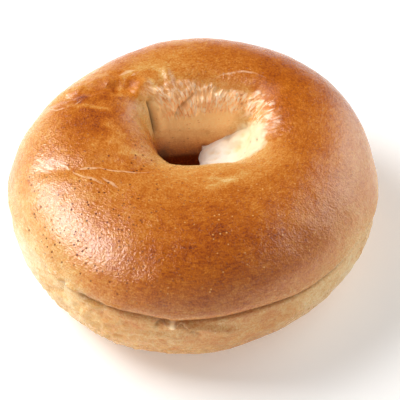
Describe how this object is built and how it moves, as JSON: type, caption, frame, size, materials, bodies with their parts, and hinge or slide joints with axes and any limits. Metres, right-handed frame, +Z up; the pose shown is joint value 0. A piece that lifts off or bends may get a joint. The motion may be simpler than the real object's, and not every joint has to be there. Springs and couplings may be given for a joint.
{
  "type": "bagel",
  "caption": "Plain baked bagel, uncut: an uneven ring of dough with a glossy golden-brown domed crust, a pale lower half, a waist crease and an off-centre hole half closed by pale dough.",
  "frame": {"origin": "on the surface the bagel lies on, under the middle of its plan box", "axes": "+Z up out of the domed side; +X to the right and +Y away from a viewer at the side where the waist crease dips in a corner, with the rope's join at the left (-X)"},
  "size_m": [0.1096, 0.1138, 0.0416],
  "materials": {
    "crust": "golden-brown baked crust, satin to glossy on the dome, paler and matte below the waist crease and in the hole"
  },
  "bodies": {
    "root": {"bagel": "crust"}
  },
  "joints": []
}
